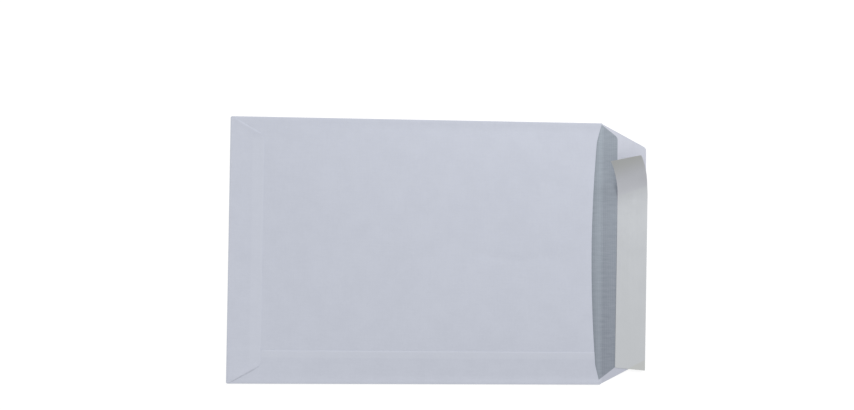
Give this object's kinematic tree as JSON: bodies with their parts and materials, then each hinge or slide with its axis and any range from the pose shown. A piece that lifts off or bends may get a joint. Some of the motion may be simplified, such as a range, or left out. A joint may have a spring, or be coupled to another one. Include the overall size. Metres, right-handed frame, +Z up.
{
  "type": "envelope",
  "caption": "Flat paper pocket envelope with gummed side and bottom seams, open mouth, folded-out closing flap and a half-peeled release strip over its adhesive.",
  "frame": {"origin": "centre of the address side's outer face, halfway between the folds", "axes": "+X from the closed end to the mouth and closing flap, +Y across the width away from the side seam, +Z up from the address side to the seam side"},
  "size_m": [0.3639, 0.229, 0.0236],
  "materials": {
    "white_paper": "matt white wood-free paper with a fine fibre texture, printed inside with a blue-grey privacy tint",
    "clear_adhesive": "clear tacky film",
    "release_paper": "smooth release-coated paper with a low sheen"
  },
  "bodies": {
    "root": {"paper_sheet": "white_paper", "adhesive_band": "clear_adhesive", "release_strip": "release_paper"}
  },
  "joints": []
}
